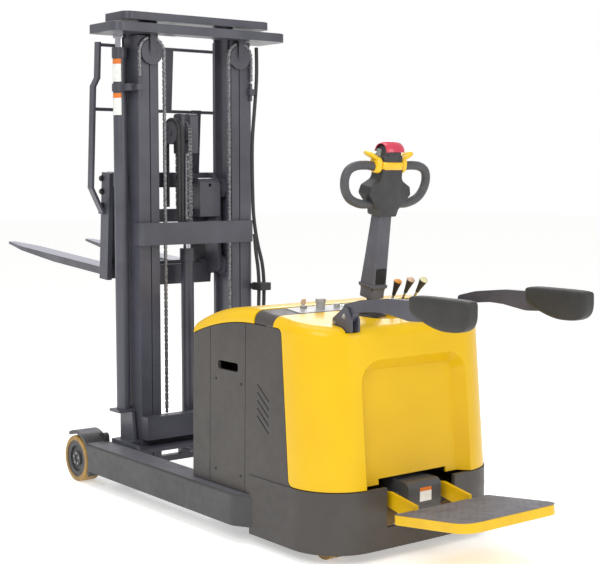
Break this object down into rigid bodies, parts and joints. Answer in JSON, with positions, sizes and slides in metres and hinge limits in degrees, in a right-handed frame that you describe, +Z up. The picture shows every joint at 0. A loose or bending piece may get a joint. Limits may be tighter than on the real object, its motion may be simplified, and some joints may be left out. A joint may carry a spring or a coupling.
{
  "type": "electric reach truck",
  "caption": "Stand-on electric reach truck with a folding platform and side guards, a tiller, two support legs and a three-stage mast that slides forward on them.",
  "frame": {"origin": "on the floor, under the middle of the whole truck's box with the mast forward, the platform down and the side guards up", "axes": "+X to the fork tips, +Y to the truck's left, +Z up"},
  "size_m": [3.5158, 0.98, 2.106],
  "materials": {
    "black_plastic": "matte",
    "black_rubber": "matte",
    "box_grey": "satin",
    "chain_steel": "satin",
    "chrome_rod": "polished",
    "console_grey": "satin",
    "dark_panel": "satin",
    "fork_steel": "satin",
    "grip_rubber": "matte",
    "leg_steel": "satin",
    "mast_steel": "satin",
    "pad_vinyl": "satin",
    "polyurethane": "matte",
    "red_plastic": "gloss",
    "wheel_iron": "satin",
    "yellow_paint": "satin",
    "yellow_plastic": "gloss",
    "zinc": "satin"
  },
  "bodies": {
    "chassis": {"left_leg": "leg_steel", "right_leg": "leg_steel", "base_frame": "box_grey", "front_bulkhead": "box_grey", "battery": "black_plastic", "reach_cylinder": "mast_steel", "rear_skirt": "dark_panel", "side_panels": "dark_panel", "rear_cover": "yellow_paint", "console_band": "dark_panel", "console_panel": "console_grey", "step_box": "box_grey", "guard_brackets": "box_grey", "control_levers": "black_rubber"},
    "battery_hood": {"battery_hood": "yellow_paint"},
    "outer_mast": {"outer_rails": "mast_steel", "mast_base": "leg_steel", "mid_strap": "mast_steel", "mast_hoses": "black_rubber", "lift_cylinders": "mast_steel"},
    "middle_mast": {"middle_rails": "mast_steel", "lower_head": "mast_steel", "lift_rods": "chrome_rod", "chain_sheaves": "wheel_iron", "lift_chains": "chain_steel"},
    "inner_mast": {"inner_rails": "mast_steel", "upper_head": "mast_steel", "free_lift_cylinder": "mast_steel"},
    "free_lift": {"free_lift_rod": "chrome_rod", "free_lift_head": "mast_steel", "free_lift_chain": "chain_steel", "free_lift_hoses": "black_rubber"},
    "carriage": {"fork_carriage": "mast_steel"},
    "fork_frame": {"fork_frame": "mast_steel", "left_fork": "fork_steel", "right_fork": "fork_steel", "load_backrest": "mast_steel"},
    "drive_head": {"drive_unit": "box_grey", "tiller_base": "black_plastic"},
    "drive_wheel": {"drive_wheel": "polyurethane"},
    "tiller": {"tiller_neck": "black_plastic", "tiller_head": "black_plastic", "tiller_grips": "grip_rubber", "belly_button": "red_plastic", "thumb_wings": "yellow_plastic"},
    "platform": {"platform_frame": "yellow_paint", "platform_mat": "black_rubber"},
    "left_load_wheel": {"left_load_tyre": "polyurethane", "left_load_hub": "wheel_iron"},
    "left_caster": {"left_caster_fork": "zinc"},
    "left_caster_wheel": {"left_caster_wheel": "polyurethane"},
    "left_guard": {"left_guard_arm": "black_plastic", "left_guard_pad": "pad_vinyl"},
    "right_load_wheel": {"right_load_tyre": "polyurethane", "right_load_hub": "wheel_iron"},
    "right_caster": {"right_caster_fork": "zinc"},
    "right_caster_wheel": {"right_caster_wheel": "polyurethane"},
    "right_guard": {"right_guard_arm": "black_plastic", "right_guard_pad": "pad_vinyl"}
  },
  "joints": [
    {"name": "hood_hinge", "type": "hinge", "parent": "chassis", "child": "battery_hood", "pos_m": [-0.75886, 0, 0.902], "axis": [0, 1, 0], "range_deg": [-70, 0]},
    {"name": "reach", "type": "slide", "parent": "chassis", "child": "outer_mast", "axis": [1, 0, 0], "range_m": [-0.54, 0]},
    {"name": "main_lift", "type": "slide", "parent": "outer_mast", "child": "middle_mast", "axis": [0, 0, 1], "range_m": [0, 1.4]},
    {"name": "inner_lift", "type": "slide", "parent": "middle_mast", "child": "inner_mast", "axis": [0, 0, 1], "range_m": [0, 1.4]},
    {"name": "carriage_lift", "type": "slide", "parent": "inner_mast", "child": "carriage", "axis": [0, 0, 1], "range_m": [-0.84, 0.5]},
    {"name": "free_lift", "type": "slide", "parent": "inner_mast", "child": "free_lift", "axis": [0, 0, 1], "range_m": [-0.42, 0.25]},
    {"name": "fork_tilt", "type": "hinge", "parent": "carriage", "child": "fork_frame", "pos_m": [0.52014, 0, 0.985], "axis": [0, -1, 0], "range_deg": [-6, 1]},
    {"name": "steering", "type": "hinge", "parent": "chassis", "child": "drive_head", "pos_m": [-0.91786, 0, 0], "axis": [0, 0, -1], "range_deg": [-90, 90]},
    {"name": "drive_spin", "type": "hinge", "parent": "drive_head", "child": "drive_wheel", "pos_m": [-0.91786, 0, 0.125], "axis": [0, 1, 0], "continuous": true},
    {"name": "tiller_tilt", "type": "hinge", "parent": "drive_head", "child": "tiller", "pos_m": [-0.92786, 0, 0.972], "axis": [0, -1, 0], "range_deg": [0, 75], "stiffness_Nm_per_rad": 20, "springref_deg": -45.84},
    {"name": "platform_fold", "type": "hinge", "parent": "chassis", "child": "platform", "pos_m": [-1.16786, 0, 0.22], "axis": [0, 1, 0], "range_deg": [-6.8, 83]},
    {"name": "left_load_spin", "type": "hinge", "parent": "chassis", "child": "left_load_wheel", "pos_m": [0.57214, 0.45, 0.105], "axis": [0, 1, 0], "continuous": true},
    {"name": "left_caster_swivel", "type": "hinge", "parent": "chassis", "child": "left_caster", "pos_m": [-1.02786, 0.318, 0], "axis": [0, 0, 1], "continuous": true},
    {"name": "left_caster_spin", "type": "hinge", "parent": "left_caster", "child": "left_caster_wheel", "pos_m": [-1.06586, 0.318, 0.0625], "axis": [0, 1, 0], "continuous": true},
    {"name": "left_guard_fold", "type": "hinge", "parent": "chassis", "child": "left_guard", "pos_m": [-1.12986, 0.286, 0.896], "axis": [0, -1, 0], "range_deg": [0, 72]},
    {"name": "right_load_spin", "type": "hinge", "parent": "chassis", "child": "right_load_wheel", "pos_m": [0.57214, -0.45, 0.105], "axis": [0, 1, 0], "continuous": true},
    {"name": "right_caster_swivel", "type": "hinge", "parent": "chassis", "child": "right_caster", "pos_m": [-1.02786, -0.318, 0], "axis": [0, 0, 1], "continuous": true},
    {"name": "right_caster_spin", "type": "hinge", "parent": "right_caster", "child": "right_caster_wheel", "pos_m": [-1.06586, -0.318, 0.0625], "axis": [0, 1, 0], "continuous": true},
    {"name": "right_guard_fold", "type": "hinge", "parent": "chassis", "child": "right_guard", "pos_m": [-1.12986, -0.286, 0.896], "axis": [0, -1, 0], "range_deg": [0, 72]}
  ],
  "couplings": [
    {"joint": "inner_lift", "follows": "main_lift", "ratio": 1},
    {"joint": "free_lift", "follows": "carriage_lift", "ratio": 0.5}
  ]
}
